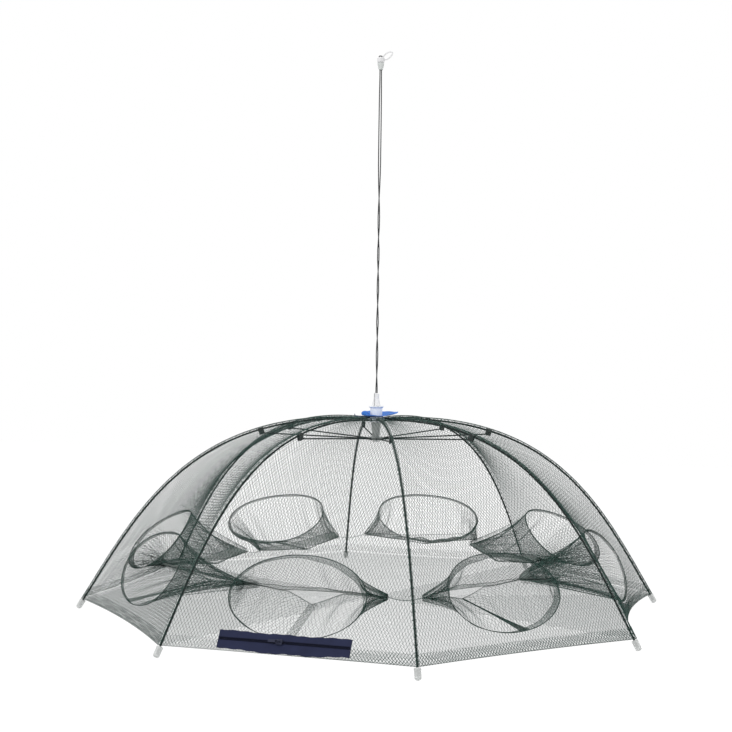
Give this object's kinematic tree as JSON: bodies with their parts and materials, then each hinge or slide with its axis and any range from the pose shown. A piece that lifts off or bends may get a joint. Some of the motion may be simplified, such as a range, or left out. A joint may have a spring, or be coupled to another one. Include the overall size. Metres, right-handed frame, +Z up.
{
  "type": "folding baitfish trap",
  "caption": "Octagonal umbrella-frame net trap with funnel entrances in every panel, a floor net, a zipped panel and a cord with a hanging clip on its latched crown hub.",
  "frame": {"origin": "top of the hanging clip, on the trap's vertical axis, where the trap hangs from", "axes": "+Z up along the cord and the crown's slide, -Y out of the panel with the zip, +X along the zip to the right as seen from outside"},
  "size_m": [0.8892, 0.8892, 0.9098],
  "materials": {
    "net": "matte knotless mesh",
    "rib_black": "satin",
    "clip_black": "satin",
    "hub_white": "translucent, moulded",
    "runner_grey": "translucent, moulded",
    "cap_grey": "translucent",
    "wire": "drawn wire",
    "cord_black": "braided",
    "patch_blue": "woven",
    "zip_navy": "woven tape",
    "slider_navy": "satin"
  },
  "bodies": {
    "held": {"runner": "runner_grey", "runner_wire_ring": "wire", "latch_stem": "hub_white", "latch_prongs": "hub_white", "cord": "cord_black", "cord_sleeve": "runner_grey", "hang_clip": "hub_white"},
    "crown": {"crown_hub": "hub_white", "hub_wire_ring": "wire", "crown_drawcord": "cord_black", "crown_patch": "patch_blue", "canopy_net": "net", "floor_net": "net", "funnel_1": "net", "funnel_2": "net", "funnel_3": "net", "funnel_4": "net", "funnel_5": "net", "funnel_6": "net", "funnel_7": "net", "funnel_8": "net"},
    "rib_arm_1": {"rib_1": "rib_black", "rib_clip_1": "clip_black", "tip_cap_1": "cap_grey", "zip_tape_upper": "zip_navy", "zip_tape_lower": "zip_navy"},
    "stretcher_arm_1": {"stretcher_1": "rib_black"},
    "rib_arm_2": {"rib_2": "rib_black", "rib_clip_2": "clip_black", "tip_cap_2": "cap_grey"},
    "stretcher_arm_2": {"stretcher_2": "rib_black"},
    "rib_arm_3": {"rib_3": "rib_black", "rib_clip_3": "clip_black", "tip_cap_3": "cap_grey"},
    "stretcher_arm_3": {"stretcher_3": "rib_black"},
    "rib_arm_4": {"rib_4": "rib_black", "rib_clip_4": "clip_black", "tip_cap_4": "cap_grey"},
    "stretcher_arm_4": {"stretcher_4": "rib_black"},
    "rib_arm_5": {"rib_5": "rib_black", "rib_clip_5": "clip_black", "tip_cap_5": "cap_grey"},
    "stretcher_arm_5": {"stretcher_5": "rib_black"},
    "rib_arm_6": {"rib_6": "rib_black", "rib_clip_6": "clip_black", "tip_cap_6": "cap_grey"},
    "stretcher_arm_6": {"stretcher_6": "rib_black"},
    "rib_arm_7": {"rib_7": "rib_black", "rib_clip_7": "clip_black", "tip_cap_7": "cap_grey"},
    "stretcher_arm_7": {"stretcher_7": "rib_black"},
    "rib_arm_8": {"rib_8": "rib_black", "rib_clip_8": "clip_black", "tip_cap_8": "cap_grey"},
    "stretcher_arm_8": {"stretcher_8": "rib_black"},
    "slider": {"zip_slider": "slider_navy"},
    "pull": {"zip_pull": "slider_navy"}
  },
  "joints": [
    {"name": "hub_slide", "type": "slide", "parent": "held", "child": "crown", "axis": [0, 0, 1], "range_m": [0, 0.2728], "deforming": ["canopy_net", "floor_net", "zip_tape_upper", "zip_tape_lower", "funnel_1", "funnel_2", "funnel_3", "funnel_4", "funnel_5", "funnel_6", "funnel_7", "funnel_8", "latch_prongs"]},
    {"name": "rib_fold_1", "type": "hinge", "parent": "crown", "child": "rib_arm_1", "pos_m": [-0.00432, -0.01044, -0.5945], "axis": [0.9239, -0.3827, 0], "range_deg": [0, 52.5]},
    {"name": "stretcher_fold_1", "type": "hinge", "parent": "rib_arm_1", "child": "stretcher_arm_1", "pos_m": [-0.07167, -0.17304, -0.61649], "axis": [-0.9239, 0.3827, 0], "range_deg": [0, 109.19]},
    {"name": "rib_fold_2", "type": "hinge", "parent": "crown", "child": "rib_arm_2", "pos_m": [0.00432, -0.01044, -0.5945], "axis": [0.9239, 0.3827, 0], "range_deg": [0, 52.5]},
    {"name": "stretcher_fold_2", "type": "hinge", "parent": "rib_arm_2", "child": "stretcher_arm_2", "pos_m": [0.07167, -0.17304, -0.61649], "axis": [-0.9239, -0.3827, 0], "range_deg": [0, 109.19]},
    {"name": "rib_fold_3", "type": "hinge", "parent": "crown", "child": "rib_arm_3", "pos_m": [0.01044, -0.00432, -0.5945], "axis": [0.3827, 0.9239, 0], "range_deg": [0, 52.5]},
    {"name": "stretcher_fold_3", "type": "hinge", "parent": "rib_arm_3", "child": "stretcher_arm_3", "pos_m": [0.17304, -0.07167, -0.61649], "axis": [-0.3827, -0.9239, 0], "range_deg": [0, 109.19]},
    {"name": "rib_fold_4", "type": "hinge", "parent": "crown", "child": "rib_arm_4", "pos_m": [0.01044, 0.00432, -0.5945], "axis": [-0.3827, 0.9239, 0], "range_deg": [0, 52.5]},
    {"name": "stretcher_fold_4", "type": "hinge", "parent": "rib_arm_4", "child": "stretcher_arm_4", "pos_m": [0.17304, 0.07167, -0.61649], "axis": [0.3827, -0.9239, 0], "range_deg": [0, 109.19]},
    {"name": "rib_fold_5", "type": "hinge", "parent": "crown", "child": "rib_arm_5", "pos_m": [0.00432, 0.01044, -0.5945], "axis": [-0.9239, 0.3827, 0], "range_deg": [0, 52.5]},
    {"name": "stretcher_fold_5", "type": "hinge", "parent": "rib_arm_5", "child": "stretcher_arm_5", "pos_m": [0.07167, 0.17304, -0.61649], "axis": [0.9239, -0.3827, 0], "range_deg": [0, 109.19]},
    {"name": "rib_fold_6", "type": "hinge", "parent": "crown", "child": "rib_arm_6", "pos_m": [-0.00432, 0.01044, -0.5945], "axis": [-0.9239, -0.3827, 0], "range_deg": [0, 52.5]},
    {"name": "stretcher_fold_6", "type": "hinge", "parent": "rib_arm_6", "child": "stretcher_arm_6", "pos_m": [-0.07167, 0.17304, -0.61649], "axis": [0.9239, 0.3827, 0], "range_deg": [0, 109.19]},
    {"name": "rib_fold_7", "type": "hinge", "parent": "crown", "child": "rib_arm_7", "pos_m": [-0.01044, 0.00432, -0.5945], "axis": [-0.3827, -0.9239, 0], "range_deg": [0, 52.5]},
    {"name": "stretcher_fold_7", "type": "hinge", "parent": "rib_arm_7", "child": "stretcher_arm_7", "pos_m": [-0.17304, 0.07167, -0.61649], "axis": [0.3827, 0.9239, 0], "range_deg": [0, 109.19]},
    {"name": "rib_fold_8", "type": "hinge", "parent": "crown", "child": "rib_arm_8", "pos_m": [-0.01044, -0.00432, -0.5945], "axis": [0.3827, -0.9239, 0], "range_deg": [0, 52.5]},
    {"name": "stretcher_fold_8", "type": "hinge", "parent": "rib_arm_8", "child": "stretcher_arm_8", "pos_m": [-0.17304, -0.07167, -0.61649], "axis": [-0.3827, 0.9239, 0], "range_deg": [0, 109.19]},
    {"name": "zip_slide", "type": "slide", "parent": "rib_arm_1", "child": "slider", "axis": [1, 0, 0], "range_m": [-0.081, 0.093]},
    {"name": "pull_swing", "type": "hinge", "parent": "slider", "child": "pull", "pos_m": [-0.01, -0.43232, -0.86617], "axis": [0, 0.5395, 0.842], "range_deg": [0, 170]}
  ],
  "couplings": [
    {"joint": "rib_fold_1", "follows": "hub_slide", "rad_per_m": 3.3269},
    {"joint": "stretcher_fold_1", "follows": "hub_slide", "rad_per_m": 6.9218},
    {"joint": "rib_fold_2", "follows": "hub_slide", "rad_per_m": 3.3269},
    {"joint": "stretcher_fold_2", "follows": "hub_slide", "rad_per_m": 6.9218},
    {"joint": "rib_fold_3", "follows": "hub_slide", "rad_per_m": 3.3269},
    {"joint": "stretcher_fold_3", "follows": "hub_slide", "rad_per_m": 6.9218},
    {"joint": "rib_fold_4", "follows": "hub_slide", "rad_per_m": 3.3269},
    {"joint": "stretcher_fold_4", "follows": "hub_slide", "rad_per_m": 6.9218},
    {"joint": "rib_fold_5", "follows": "hub_slide", "rad_per_m": 3.3269},
    {"joint": "stretcher_fold_5", "follows": "hub_slide", "rad_per_m": 6.9218},
    {"joint": "rib_fold_6", "follows": "hub_slide", "rad_per_m": 3.3269},
    {"joint": "stretcher_fold_6", "follows": "hub_slide", "rad_per_m": 6.9218},
    {"joint": "rib_fold_7", "follows": "hub_slide", "rad_per_m": 3.3269},
    {"joint": "stretcher_fold_7", "follows": "hub_slide", "rad_per_m": 6.9218},
    {"joint": "rib_fold_8", "follows": "hub_slide", "rad_per_m": 3.3269},
    {"joint": "stretcher_fold_8", "follows": "hub_slide", "rad_per_m": 6.9218}
  ]
}
